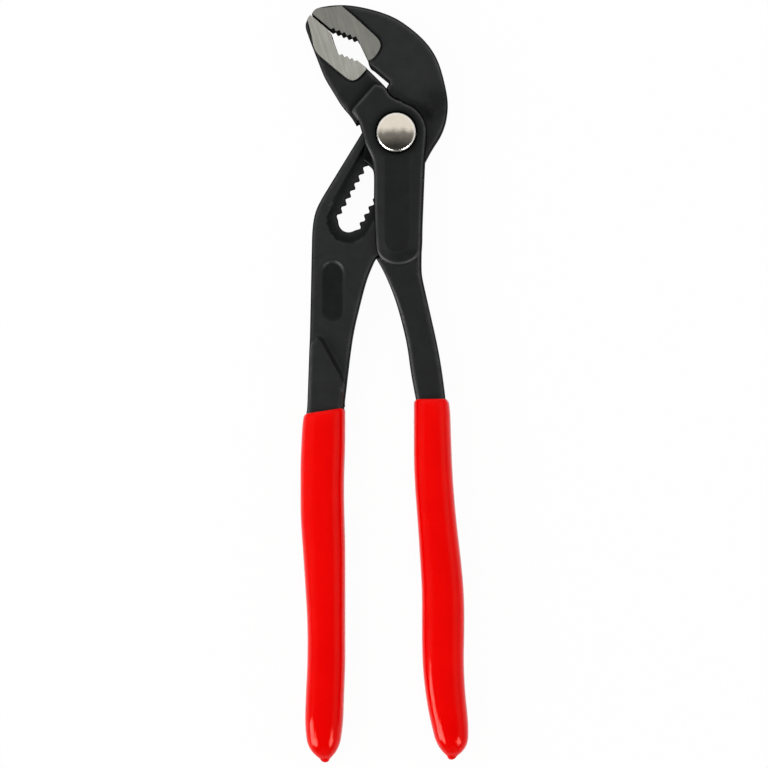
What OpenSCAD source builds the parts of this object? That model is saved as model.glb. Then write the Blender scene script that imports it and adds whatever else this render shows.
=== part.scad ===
// Water pump pliers with a box joint, a toothed adjusting slot and a push-button lock.
// The pliers lie flat: +Y runs towards the jaws, +Z out of the front face.
// The pivot axis is the Z axis, and the back face of the box joint lies on z = 0.

/* [Box joint] */
// Thickness over the two cheeks of the box joint
joint_t = 12.6; // [12.4:0.1:13.4]
// Thickness of the flat tongue that runs between the cheeks
tongue_t = 5.0; // [4.8:0.1:5.2]
// Clearance between the tongue and each cheek
tongue_gap = 0.1; // [0.08:0.01:0.15]
// Radius of the round boss around the button
boss_r = 10.1; // [9.8:0.1:10.2]

/* [Jaws and shanks] */
// Thickness of the forged jaw bodies
jaw_t = 9.4; // [9:0.1:10]
// Height of the ground jaw faces above the forging
pad_rise = 0.6; // [0.3:0.1:0.8]
// Thickness of the handle shanks
shank_t = 9.0; // [8.4:0.1:9.2]
// Thickness of the shanks' outer edges, where the forging is rounded off
shank_edge_t = 6.2; // [5.6:0.1:6.6]
// Width of that rounded-off edge
shank_edge_w = 1.2; // [1:0.1:1.4]
// Number of gripping grooves in the upper jaw
upper_grooves = 5; // [4:1:6]
// Number of gripping grooves in the lower jaw
lower_grooves = 4; // [3:1:5]
// Depth of the gripping grooves
groove_depth = 0.75; // [0.5:0.05:0.9]

/* [Adjusting slot] */
// Angle of the slot from the Y axis
slot_angle = 29.0; // [28.6:0.1:29.6]
// Distance from one notch of the slot to the next
notch_pitch = 3.0; // [2.9:0.05:3.1]
// Width of the slot between opposite tooth tips
slot_w = 6.4; // [6.3:0.1:6.6]
// Depth of the slot's teeth
notch_depth = 1.35; // [1.2:0.05:1.4]
// Thickness of the toothed web
web_t = 1.6; // [1.5:0.1:1.7]
// Width of the recess that surrounds the slot on both faces
recess_w = 13.5; // [13.2:0.1:13.8]
// Depth of the bare oval panel on the left lever
panel_depth = 0.5; // [0.3:0.1:0.8]

/* [Push-button lock] */
// Diameter of the domed button
button_d = 13.0; // [12.6:0.1:13.2]
// Height of the button's crown above the box joint
button_rise = 2.0; // [1.6:0.1:2.4]
// Travel that takes the toothed flange out of the web
press_travel = 1.55; // [1.5:0.01:1.6]
// Diameter of the bolt's journal in the front cheek
journal_d = 8.0; // [7.8:0.1:8.2]
// Diameter of the bolt's tail in the back cheek
tail_d = 10.0; // [9.8:0.1:10.2]
// Radial running clearance of the bolt in the cheeks
run_gap = 0.04; // [0.02:0.01:0.08]
// Clearance of the flange in the slot's teeth
tooth_gap = 0.12; // [0.1:0.01:0.15]

/* [Grips] */
// Thickness of the vinyl grips
grip_t = 12.6; // [12:0.1:12.6]
// Thickness of the vinyl beside the steel
coat = 0.9; // [0.8:0.1:1.2]

/* [Hidden] */
$fn = 64;
forged = [0.15, 0.155, 0.16];
vinyl = [0.85, 0.02, 0.02];
nickel = [0.8, 0.78, 0.73];
bare_steel = [0.6, 0.6, 0.6];

// Heights through the joint, measured from the back face
mid_z = joint_t / 2;
tongue_back = mid_z - tongue_t / 2;
tongue_front = mid_z + tongue_t / 2;
mortise_back = tongue_back - tongue_gap;
mortise_front = tongue_front + tongue_gap;
web_back = mid_z - web_t / 2;
web_front = mid_z + web_t / 2;
cut_over = 1;
boss_gap = 0.55;
arc_steps = 16;

// Axial layout of the lock, from the back cover to the button
cover_t = 0.7;
cover_r = 6.4;
stop_gap = 0.1;
end_gap = 0.05;
tail_front = web_back - stop_gap;
tail_back = cover_t + end_gap + press_travel;
flange_t = 1.5;
neck_r = 3.0;
journal_back = web_front + press_travel + stop_gap + end_gap;
counterbore_depth = 1.8;
counterbore_z = joint_t - counterbore_depth;
button_gap = 0.2;
counterbore_r = button_d / 2 + button_gap;
skirt_sink = 0.1;
rim_rise = 0.9;
ceiling_rise = 0.6;
spigot_sink = 0.2;
spigot_rise = 1.3;
cap_edge_z = joint_t - skirt_sink;
cap_rim_z = joint_t + rim_rise;
cap_top_z = joint_t + button_rise;
cap_wall = 0.9;
dome_steps = 8;
cap_ceiling_z = joint_t + ceiling_rise;
spigot_r = 2.5;
spigot_back = joint_t - spigot_sink;
spigot_front = joint_t + spigot_rise;
washer_t = 0.35;
washer_gap = 0.15;
washer_r = button_d / 2 - cap_wall - washer_gap;
washer_front = counterbore_z + washer_t;

// Return spring: a flat cone of round wire between the washer and the button
wire_r = 0.18;
spring_turns = 2;
spring_small_r = 4.45;
spring_large_r = 5.25;
spring_rings_per_turn = 24;
spring_sides = 6;
coil_gap = 0.02;

// Slot coordinates: u runs from the pivot down the slot, v across it
slot_first = -1;
slot_last = 11;
slot_half = slot_w / 2;
tooth_flat = 0.3;
slot_end_r = 3.4;
slot_cap_steps = 6;
recess_start = -2;
recess_end = slot_last * notch_pitch;
panel_centre = [-21.1, -52];
panel_r = 3.65;
panel_half_l = 10.2;

// Smooth curve through a few points, with n steps from each point to the next
function smooth(p, n) = concat(
    [for (i = [0:len(p) - 2]) for (k = [0:n - 1])
        let (t = k / n, a = p[max(i - 1, 0)], b = p[i], c = p[i + 1], d = p[min(i + 2, len(p) - 1)])
        0.5 * (2 * b + (c - a) * t + (2 * a - 5 * b + 4 * c - d) * t * t
               + (3 * b - a - 3 * c + d) * t * t * t)],
    [p[len(p) - 1]]);

// Arc about the pivot from one angle to another
function pivot_arc(r, from, to, n) =
    [for (k = [0:n]) let (a = from + (to - from) * k / n) r * [cos(a), sin(a)]];

function reversed(p) = [for (i = [len(p) - 1:-1:0]) p[i]];

// Jaw tips and the ends of the gripping grooves
upper_tip = [-28.0, 39.1];
upper_groove_from = [-21.7, 34.0];
upper_groove_to = [-12.7, 30.6];
lower_tip = [-28.3, 38.7];
lower_groove_from = [-19.4, 26.6];
lower_groove_to = [-12.8, 23.9];

// Gripping edge of the upper jaw, from its tip to the end of the gap
upper_grip_edge = concat(
    [upper_tip, upper_groove_from, upper_groove_to],
    smooth([[-10.8, 26.6], [-9.2, 23.4], [-7.3, 20.9], [-2.6, 16.9]], 4));

// Back of the upper jaw, from its tip round to the right of the boss
upper_back = smooth([upper_tip, [-27.2, 40.5], [-25.2, 41.5], [-18.2, 42.2], [-10.6, 41.2], [-2.2, 38.6],
                     [3.8, 35.0], [9.8, 29.6], [13.8, 23.2], [16.2, 14.4], [16.8, 8.8], [16.2, 4.0]], 4);

// Inner shoulder of the upper jaw, which clears the boss as the jaw swings
shoulder_r = boss_r + boss_gap;
shoulder = concat([[-2.4, 15.8], [-1.6, 13.2], [2.3, 11.1]], pivot_arc(shoulder_r, 74, 5, arc_steps));
upper_jaw = concat(upper_grip_edge, shoulder, reversed(upper_back));

// Ground face of the upper jaw
upper_pad = concat(
    [upper_tip, upper_groove_from, upper_groove_to],
    smooth([[-10.8, 26.6], [-9.2, 23.6]], 2),
    smooth([[-7.8, 23.9], [-5.4, 27.2], [-4.9, 29.2], [-6.0, 31.0]], 4),
    [[-18.0, 42.1]],
    reversed(smooth([upper_tip, [-27.2, 40.5], [-25.2, 41.5], [-18.2, 42.1]], 4)));

// Gripping edge of the lower jaw, from its tip to the end of the gap
lower_grip_edge = concat(
    [lower_tip, [-21.6, 33.0], [-21.2, 31.6]],
    smooth([[-20.9, 30.6], lower_groove_from], 2),
    [lower_groove_to],
    smooth([[-12.0, 23.2], [-9.4, 21.0], [-3.3, 15.0]], 3));

// Back of the lower jaw, from its bottom corner up to the tip
lower_back = smooth([[-13.6, 3.0], [-15.4, 6.0], [-18.2, 9.2], [-21.4, 14.4], [-23.8, 18.4], [-25.8, 23.2],
                     [-29.0, 31.6], [-30.2, 35.4], [-29.6, 37.4], lower_tip], 4);
lower_jaw = concat(lower_grip_edge, [[-3.0, 4.0], [-12.0, 4.0]], lower_back);

// Ground face of the lower jaw
lower_pad = concat(
    [lower_tip, [-21.6, 33.0], [-21.2, 31.6]],
    smooth([[-20.9, 30.6], lower_groove_from], 2),
    [lower_groove_to],
    smooth([[-12.0, 23.2], [-9.6, 21.1]], 2),
    smooth([[-12.2, 17.9], [-13.9, 16.9], [-15.6, 17.3], [-26.4, 26.2]], 4),
    smooth([[-27.1, 27.2], [-28.1, 31.2], [-29.3, 36.2], [-29.2, 37.6], lower_tip], 4));

// Cheek of the box joint: the root of the lower jaw, the boss and the long pad below it
cheek = concat(
    [[-15.2, 7.2], [-7.0, 16.4], [-3.3, 15.0]],
    smooth([[-3.1, 14.6], [-2.2, 12.4], [0, 11.0], [2.2, 10.3]], 3),
    pivot_arc(boss_r, 76, -8, arc_steps),
    smooth([[9.6, -5.0], [9.2, -9.5], [8.8, -17.5], [8.4, -29.5], [8.1, -38.5], [6.6, -41.2], [3.8, -42.6],
            [-0.2, -43.1], [-4.0, -42.0], [-6.2, -39.9], [-6.9, -37.0], [-7.5, -23.5], [-7.6, -10.5],
            [-9.8, -4.8], [-11.4, 0.0], [-12.4, 3.6]], 4));

// Space between the cheeks that the tongue slides and swings through
mortise = [[-17.4, 3.6], [-4.5, 19.0], [30, 30], [30, -10], [10.5, -10], [-2.6, -41], [-5.2, -48.5],
           [-40, -48.5], [-40, 3.6]];

// Tongue of the slot lever, from the jaw to the left handle
tongue_left = smooth([[-12.0, -0.4], [-15.4, -5.9], [-22.2, -16.9], [-25.8, -23.1], [-27.3, -27.1],
                      [-28.0, -32.7], [-28.2, -41.5], [-28.8, -68.2], [-29.6, -90.0]], 4);
tongue_right = smooth([[-17.5, -90.0], [-14.8, -68.2], [-12.2, -56.3], [-9.8, -47.5], [-7.0, -40.9]], 4);
tongue_shoulder = smooth([[9.8, -8.4], [11.8, -4.8], [14.6, -0.4], [16.2, 4.0]], 3);
tongue = concat([[-1.0, 19.0], [-3.2, 15.2]], tongue_left, tongue_right, tongue_shoulder,
                [[14, 16], [6, 22]]);

// Grip stations: height on Y, centre on X, half width and half thickness
grip_half_t = grip_t / 2;
mouth_half_t = grip_half_t - 0.3;
left_stations = [
    [-92.0, -23.9, 6.8, mouth_half_t], [-94.0, -24.1, 7.0, grip_half_t], [-104, -24.5, 7.1, grip_half_t],
    [-116, -24.9, 7.15, grip_half_t], [-128, -24.6, 7.05, grip_half_t], [-140, -24.0, 6.8, grip_half_t],
    [-151, -23.6, 6.5, grip_half_t], [-162, -23.3, 6.2, grip_half_t], [-174, -23.4, 6.1, grip_half_t],
    [-186, -23.9, 6.15, grip_half_t], [-196, -24.2, 6.1, grip_half_t],
    [-200.4, -24.3, 5.4, 5.2], [-204, -24.2, 3.7, 3.6], [-206.6, -23.8, 1.7, 1.7],
    [-207.6, -23.8, 0.7, 0.7]];
right_stations = [
    [-88.3, 11.2, 5.7, mouth_half_t], [-90.3, 11.4, 5.95, grip_half_t], [-100, 11.6, 6.05, grip_half_t],
    [-114, 12.1, 6.15, grip_half_t], [-128, 13.2, 6.25, grip_half_t], [-140, 14.3, 6.55, grip_half_t],
    [-151, 15.1, 6.75, grip_half_t], [-162, 15.2, 6.85, grip_half_t], [-174, 15.2, 6.65, grip_half_t],
    [-184, 15.9, 6.4, grip_half_t], [-192, 17.0, 6.15, grip_half_t],
    [-198, 18.0, 5.7, 5.6], [-201.6, 18.3, 4.5, 4.5], [-204.6, 18.2, 2.2, 2.3], [-206.4, 17.9, 0.7, 0.7]];
grip_steps = 3;
grip_sides = 20;
grip_squareness = 2.6;
dip_gap = 0.04;

// Flat steel tang inside a grip, from the grip's mouth to a few millimetres above its end
tang_end_station = 10;
tang_steps = 2;
function tang_line(st, side, inset) =
    [for (s = smooth([for (i = [0:tang_end_station]) st[i]], tang_steps))
        [s[1] + side * (s[2] - inset), s[0]]];

// Thick shanks of the two handles, above the tangs
left_shank_left = smooth([[-28.75, -66.5], [-28.9, -70.0], [-29.2, -80.0], [-29.6, -90.0]], 2);
left_shank_right = [[-17.9, -90.0], [-18.8, -81.2]];
right_shank_left = smooth([[-7.0, -40.9], [-3.8, -46.7], [-0.2, -55.9], [3.0, -68.2], [4.6, -78.8],
                           [6.1, -87.0]], 4);
right_shank_right = smooth([[16.0, -87.0], [14.6, -76.8], [13.0, -68.2], [10.6, -57.5], [8.8, -49.5],
                            [8.1, -45.5], [8.1, -38.5]], 4);

// Outline of a shank and its tang, drawn in by edge on both sides and grown by gap inside the grip
function shifted(p, dx) = [for (q = p) q + [dx, 0]];
function shank_outline(left_edge, right_edge, stations, edge, gap) = concat(
    shifted(left_edge, edge), tang_line(stations, -1, coat + edge - gap),
    reversed(tang_line(stations, 1, coat + edge - gap)), shifted(right_edge, -edge));

// Shank with stepped edges, grown by gap for the hollow of its grip
module shank(left_edge, right_edge, stations, gap) {
    mid_slab(shank_outline(left_edge, right_edge, stations, 0, gap), shank_edge_t + 2 * gap);
    mid_slab(shank_outline(left_edge, right_edge, stations, shank_edge_w, gap), shank_t + 2 * gap);
}
module right_shank(gap) {
    shank(right_shank_left, right_shank_right, right_stations, gap);
}
module left_shank(gap) {
    shank(left_shank_left, left_shank_right, left_stations, gap);
}

// Solid between two heights with the given outline
module slab(points, from_z, to_z) {
    translate([0, 0, from_z]) linear_extrude(to_z - from_z) polygon(points);
}

// Solid of a given thickness that is centred on the joint's middle plane
module mid_slab(points, t) {
    slab(points, mid_z - t / 2, mid_z + t / 2);
}

// Row of V grooves across a jaw, cut along the line from one point to another
module grooves(from, to, count) {
    run = to - from;
    turn = atan2(run[1], run[0]);
    side = groove_depth * sqrt(2);
    for (i = [0:count - 1])
        translate(concat(from + run * (i + 0.5) / count, mid_z))
            rotate(turn + 45)
                cube([side, side, joint_t], center = true);
}

// Places a shape that is drawn in slot coordinates
module along_slot() {
    rotate(-90 - slot_angle) children();
}

// Outline of the toothed slot in slot coordinates
function tooth_side(side, gap, first, last) =
    [for (k = [first:last]) let (u = k * notch_pitch, w = slot_half - gap, root = w + notch_depth)
        each [[u - notch_pitch / 2 + tooth_flat / 2, side * w], [u - tooth_flat / 2, side * root],
              [u + tooth_flat / 2, side * root], [u + notch_pitch / 2 - tooth_flat / 2, side * w]]];
function slot_cap(u, direction) =
    let (a = asin(slot_half / slot_end_r), c = u - direction * slot_end_r * cos(a))
    [for (k = [-slot_cap_steps:slot_cap_steps]) let (t = a * k / (slot_cap_steps + 1))
        [c + direction * slot_end_r * cos(t), direction * slot_end_r * sin(t)]];
slot_low_u = (slot_last + 0.5) * notch_pitch;
slot_high_u = (slot_first - 0.5) * notch_pitch;
toothed_slot = concat(
    tooth_side(-1, 0, slot_first, slot_last), slot_cap(slot_low_u, 1),
    reversed(tooth_side(1, 0, slot_first, slot_last)), slot_cap(slot_high_u, -1));
toothed_flange = concat(tooth_side(-1, tooth_gap, -1, 1), reversed(tooth_side(1, tooth_gap, -1, 1)));

// Long hole with round ends along X, between two centres
module obround(from, to, r, from_z, to_z) {
    translate([0, 0, from_z]) linear_extrude(to_z - from_z) {
        translate([from, -r]) square([to - from, 2 * r]);
        translate([from, 0]) circle(r);
        translate([to, 0]) circle(r);
    }
}

// Solid skin of a grip, lofted through its stations
module grip_loft(stations) {
    rings = smooth(stations, grip_steps);
    count = len(rings);
    power = 2 / grip_squareness;
    points = [for (s = rings) for (k = [0:grip_sides - 1])
        let (a = 360 * (k + 0.5) / grip_sides, c = cos(a), d = sin(a))
        [s[1] + s[2] * sign(c) * pow(abs(c), power), s[0], mid_z + s[3] * sign(d) * pow(abs(d), power)]];
    walls = [for (i = [0:count - 2]) for (k = [0:grip_sides - 1])
        let (a = i * grip_sides + k, b = i * grip_sides + (k + 1) % grip_sides)
        each [[a, a + grip_sides, b], [b, a + grip_sides, b + grip_sides]]];
    mouth = [for (k = [0:grip_sides - 1]) k];
    tip = [for (k = [grip_sides - 1:-1:0]) (count - 1) * grip_sides + k];
    polyhedron(points, concat(walls, [mouth, tip]), convexity = 4);
}

// Lever with the lower-left jaw, the cheeks of the box joint and the right handle
module box_lever() {
    color(forged)
    difference() {
        union() {
            mid_slab(lower_jaw, jaw_t);
            mid_slab(lower_pad, jaw_t + 2 * pad_rise);
            slab(cheek, 0, joint_t);
            right_shank(0);
        }
        slab(mortise, mortise_back, mortise_front);
        grooves(lower_groove_from, lower_groove_to, lower_grooves);
        translate([0, 0, counterbore_z]) cylinder(r = counterbore_r, h = counterbore_depth + cut_over);
        translate([0, 0, mid_z]) cylinder(r = journal_d / 2 + run_gap, h = joint_t);
        translate([0, 0, cover_t]) cylinder(r = tail_d / 2 + run_gap, h = mid_z - cover_t);
        translate([0, 0, -cut_over]) cylinder(r = cover_r, h = cover_t + cut_over);
    }
}

// Lever with the upper-right jaw, the tongue with the toothed slot and the left handle
module slot_lever() {
    color(forged)
    difference() {
        union() {
            mid_slab(upper_jaw, jaw_t);
            mid_slab(upper_pad, jaw_t + 2 * pad_rise);
            mid_slab(tongue, tongue_t);
            left_shank(0);
        }
        grooves(upper_groove_from, upper_groove_to, upper_grooves);
        along_slot() {
            slab(toothed_slot, 0, joint_t);
            obround(recess_start, recess_end, recess_w / 2, web_front, tongue_front + cut_over);
            obround(recess_start, recess_end, recess_w / 2, tongue_back - cut_over, web_back);
        }
        translate(concat(panel_centre, 0)) rotate(90)
            obround(panel_r - panel_half_l, panel_half_l - panel_r, panel_r, tongue_front - panel_depth,
                    tongue_front + cut_over);
    }
}

// Vinyl sleeve dipped over the right handle
module right_grip() {
    color(vinyl)
    difference() {
        grip_loft(right_stations);
        right_shank(dip_gap);
    }
}

// Vinyl sleeve dipped over the left handle
module left_grip() {
    color(vinyl)
    difference() {
        grip_loft(left_stations);
        left_shank(dip_gap);
    }
}

// Pivot bolt: tail in the back cheek, toothed flange in the web, neck, journal and spigot for the button
module lock_bolt() {
    color(bare_steel)
    union() {
        translate([0, 0, tail_back]) cylinder(r = tail_d / 2, h = tail_front - tail_back);
        along_slot() slab(toothed_flange, tail_front, tail_front + flange_t);
        translate([0, 0, tail_front]) cylinder(r = neck_r, h = journal_back - tail_front);
        translate([0, 0, journal_back]) cylinder(r = journal_d / 2, h = spigot_back - journal_back);
        translate([0, 0, spigot_back]) cylinder(r = spigot_r, h = spigot_front - spigot_back);
    }
}

// Hollow domed button, pressed on the bolt's spigot
module button_cap() {
    r = button_d / 2;
    rise = cap_top_z - cap_rim_z;
    dome_r = (r * r + rise * rise) / (2 * rise);
    dome = [for (k = [0:dome_steps]) let (x = r * (1 - k / dome_steps))
        [x, cap_top_z - dome_r + sqrt(dome_r * dome_r - x * x)]];
    color(nickel)
    rotate_extrude()
        polygon(concat(
            [[r - cap_wall, cap_edge_z], [r, cap_edge_z]], dome,
            [[0, spigot_front], [spigot_r, spigot_front], [spigot_r, spigot_back],
             [journal_d / 2, spigot_back], [journal_d / 2, cap_ceiling_z], [r - cap_wall, cap_ceiling_z]]));
}

// Conical wire spring under the button
module return_spring() {
    low = washer_front + wire_r + coil_gap;
    high = cap_ceiling_z - wire_r - coil_gap;
    count = spring_turns * spring_rings_per_turn;
    points = [for (i = [0:count]) for (k = [0:spring_sides - 1])
        let (t = i / count, turn = 360 * spring_turns * t, a = 360 * k / spring_sides,
             r = spring_large_r + (spring_small_r - spring_large_r) * t + wire_r * cos(a))
        [r * cos(turn), r * sin(turn), low + (high - low) * t + wire_r * sin(a)]];
    walls = [for (i = [0:count - 1]) for (k = [0:spring_sides - 1])
        let (a = i * spring_sides + k, b = i * spring_sides + (k + 1) % spring_sides)
        each [[a, a + spring_sides, b], [b, a + spring_sides, b + spring_sides]]];
    start = [for (k = [0:spring_sides - 1]) k];
    end = [for (k = [spring_sides - 1:-1:0]) count * spring_sides + k];
    color(bare_steel) polyhedron(points, concat(walls, [start, end]), convexity = 6);
}

// Washer that the spring turns on, in the counterbore under the button
module spring_seat_washer() {
    color(bare_steel)
    translate([0, 0, counterbore_z])
        difference() {
            cylinder(r = washer_r, h = washer_t);
            translate([0, 0, -cut_over])
                cylinder(r = journal_d / 2 + washer_gap, h = washer_t + 2 * cut_over);
        }
}

// Disc that closes the bolt's bore, flush with the back cheek
module rear_cover_disc() {
    color(bare_steel) cylinder(r = cover_r, h = cover_t);
}

box_lever();
slot_lever();
right_grip();
left_grip();
lock_bolt();
button_cap();
return_spring();
spring_seat_washer();
rear_cover_disc();
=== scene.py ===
# %% [markdown]
# # Water pump pliers
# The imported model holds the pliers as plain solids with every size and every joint. This lesson lays
# the finish over them: drop-forged levers with soft edges, ground jaw faces, dipped vinyl grips and a
# polished push button. Each new piece takes its outline and its heights from the solid that it stands
# for. Only edges, fillets and a millimetre or two of form that no joint depends on are its own.

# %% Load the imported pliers
import math

import bmesh
import bpy
import numpy as np
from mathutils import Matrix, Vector, noise
from mathutils.bvhtree import BVHTree
from mathutils.geometry import delaunay_2d_cdt


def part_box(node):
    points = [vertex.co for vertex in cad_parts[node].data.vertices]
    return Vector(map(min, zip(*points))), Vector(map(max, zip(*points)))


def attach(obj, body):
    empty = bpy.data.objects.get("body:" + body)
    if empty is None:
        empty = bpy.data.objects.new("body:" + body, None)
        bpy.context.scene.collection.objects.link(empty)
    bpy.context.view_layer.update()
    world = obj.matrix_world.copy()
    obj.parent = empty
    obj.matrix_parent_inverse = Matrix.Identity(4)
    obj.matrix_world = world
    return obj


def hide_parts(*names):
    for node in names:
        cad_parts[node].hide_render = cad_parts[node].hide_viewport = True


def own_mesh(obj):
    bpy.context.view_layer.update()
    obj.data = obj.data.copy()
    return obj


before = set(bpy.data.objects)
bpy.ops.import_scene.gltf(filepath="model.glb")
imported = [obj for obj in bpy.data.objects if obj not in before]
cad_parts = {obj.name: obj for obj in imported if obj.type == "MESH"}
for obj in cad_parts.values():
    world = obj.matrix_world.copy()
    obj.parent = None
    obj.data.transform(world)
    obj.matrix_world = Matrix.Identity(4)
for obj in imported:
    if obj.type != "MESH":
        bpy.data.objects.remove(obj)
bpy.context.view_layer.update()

MM = 0.001
scene = bpy.context.scene
scene.view_settings.view_transform = "Standard"
print("nodes:", sorted(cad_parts))

# %% [markdown]
# ## Camera
# The picture looks straight down on the pliers, but from a little to their right: a narrow band of
# every wall that faces right shows, and so do the walls of the upper jaw's teeth, far from the middle
# of the picture. A camera about three quarters of a metre up, aimed at the middle of the frame, gives
# the same bands. An orthographic camera would be simpler, but it would hide them all.

# %% Camera above the pliers
FRAME_MIDDLE = Vector((-4.2, -82.45, 9.0)) * MM
FRAME_WIDTH = 252.8 * MM
CAMERA_RIGHT = 36 * MM
CAMERA_UP = 770 * MM

camera = bpy.data.objects.new("camera", bpy.data.cameras.new("camera"))
scene.collection.objects.link(camera)
scene.camera = camera
camera.location = FRAME_MIDDLE + Vector((CAMERA_RIGHT, 0, CAMERA_UP))
camera.rotation_euler = (0, math.atan2(CAMERA_RIGHT, CAMERA_UP), 0)
camera.data.lens = camera.data.sensor_width * math.hypot(CAMERA_RIGHT, CAMERA_UP) / FRAME_WIDTH
camera.data.dof.use_dof = False
print("lens:", round(camera.data.lens, 1), "mm")

# %% [markdown]
# ## Shader helpers
# Every finish here is a small graph of nodes. One helper adds a node and fills its sockets, either
# with a value or with a link, so that a graph reads as a list of steps. A second helper opens an empty
# node group with named sockets, for the effects that several finishes share.

# %% Node helpers
def add(tree, kind, settings=None, **sockets):
    """Adds a node, sets its options, then fills each named socket with a value or a link."""
    made = tree.nodes.new(kind)
    for option, value in (settings or {}).items():
        setattr(made, option, value)
    for label, value in sockets.items():
        socket = made.inputs[int(label[1:]) if label[1:].isdigit() else label.replace("_", " ")]
        if isinstance(value, bpy.types.NodeSocket):
            tree.links.new(value, socket)
        else:
            socket.default_value = value
    return made


def maths(tree, operation, a, b=0.0):
    """One step of arithmetic; _0 and _1 are the node's two values."""
    return add(tree, "ShaderNodeMath", {"operation": operation}, _0=a, _1=b).outputs[0]


def blend_colour(tree, share, first, second):
    """Mixes two colours by a share from 0 to 1."""
    made = add(tree, "ShaderNodeMix", {"data_type": "RGBA"}, _0=share, _6=first, _7=second)
    return made.outputs[2]


def between(tree, value, low, high, to_low, to_high):
    """Maps one range of values on another and holds the ends."""
    made = add(tree, "ShaderNodeMapRange", None, Value=value, From_Min=low, From_Max=high, To_Min=to_low,
               To_Max=to_high)
    return made.outputs[0]


def noise_at(tree, place, scale, detail, roughness=0.5):
    """Value of a noise texture at a place."""
    made = add(tree, "ShaderNodeTexNoise", None, Vector=place, Scale=scale, Detail=detail,
               Roughness=roughness)
    return made.outputs[0]


def object_place(tree):
    """Place in the piece's own frame, in which every texture of a finish is laid out."""
    return tree.nodes.new("ShaderNodeTexCoord").outputs["Object"]


def ray_kinds(tree):
    """Two switches: rays from the camera, and rays that a gloss mirrors or that pass through glass."""
    path = tree.nodes.new("ShaderNodeLightPath").outputs
    return path["Is Camera Ray"], maths(tree, "MAXIMUM", path["Is Glossy Ray"], path["Is Transmission Ray"])


def open_group(name, inputs, outputs):
    """An empty node group with named inputs and outputs."""
    group = bpy.data.node_groups.new(name, "ShaderNodeTree")
    for label, value in inputs.items():
        socket = group.interface.new_socket(label, in_out="INPUT", socket_type="NodeSocketFloat")
        socket.default_value = value
    for label in outputs:
        group.interface.new_socket(label, in_out="OUTPUT", socket_type="NodeSocketFloat")
    return group, group.nodes.new("NodeGroupInput").outputs, group.nodes.new("NodeGroupOutput").inputs


def place_group(tree, group, **values):
    """Places a shared group in a material with its own values."""
    made = tree.nodes.new("ShaderNodeGroup")
    made.node_tree = group
    for label, value in values.items():
        made.inputs[label.replace("_", " ")].default_value = value
    return made.outputs


print("node helpers ready")

# %% [markdown]
# ## Stage and light
# A plain white floor and a white background stand in for the studio table. The polished button tells
# where the light comes from: its upper half mirrors the bright room behind the jaws, its lower half the
# dark room behind the camera, and two bright crescents low on its rim come from lights at the left and
# the right of the handles. The lamps are shared out for that. Four soft lights only light surfaces. Two
# glint lights and an edge light are only mirrored, and so is the bright right side of the room. The
# floor keeps a part of its own shading, so that the pliers still cast a soft shadow. The rest of its
# white is shown to the camera, and a little of it to reflections.

# %% Floor and world
WHITE = (1, 1, 1, 1)
FLOOR_HALF = 6.0
FLOOR_DROP = 0.05 * MM
FLOOR_WHITE = (0.93, 0.93, 0.93, 1)
FLOOR_SHOWN_WHITE = 0.96
FLOOR_MIRRORED_WHITE = 0.2
ROOM_LEVEL = 0.35
ROOM_DARK = 0.03
ROOM_MIDDLE = 0.24
ROOM_BACK = 0.95
ROOM_RIGHT = 0.9
ROOM_HORIZON = 0.3
ROOM_STREAKS = 0.22
STREAK_SCALE = (6.0, 3.0, 1.0)
BACK_RISE = (0.0, 0.24)
FRONT_RISE = (-0.34, 0.05)
RIGHT_RISE = (0.45, 0.75)
HORIZON_RISE = (0.1, 0.5)


def new_piece(name, mesh):
    """Object of a finished mesh, linked to the scene."""
    piece = bpy.data.objects.new(name, bpy.data.meshes.new(name))
    mesh.to_mesh(piece.data)
    mesh.free()
    scene.collection.objects.link(piece)
    return piece


def make_floor():
    sheet = bmesh.new()
    bmesh.ops.create_grid(sheet, x_segments=4, y_segments=4, size=FLOOR_HALF)
    floor = new_piece("floor", sheet)
    floor.location.z = -FLOOR_DROP
    material = bpy.data.materials.new("white_floor")
    material.use_nodes = True
    tree = material.node_tree
    tree.nodes.clear()
    matt = add(tree, "ShaderNodeBsdfDiffuse", None, Color=FLOOR_WHITE)
    glow = add(tree, "ShaderNodeEmission", None, Color=WHITE, Strength=1.0)
    seen, mirrored = ray_kinds(tree)
    shown = maths(tree, "MULTIPLY", seen, FLOOR_SHOWN_WHITE)
    share = maths(tree, "MAXIMUM", shown, maths(tree, "MULTIPLY", mirrored, FLOOR_MIRRORED_WHITE))
    both = add(tree, "ShaderNodeMixShader", None, _0=share, _1=matt.outputs[0], _2=glow.outputs[0])
    add(tree, "ShaderNodeOutputMaterial", None, Surface=both.outputs[0])
    floor.data.materials.append(material)


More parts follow.
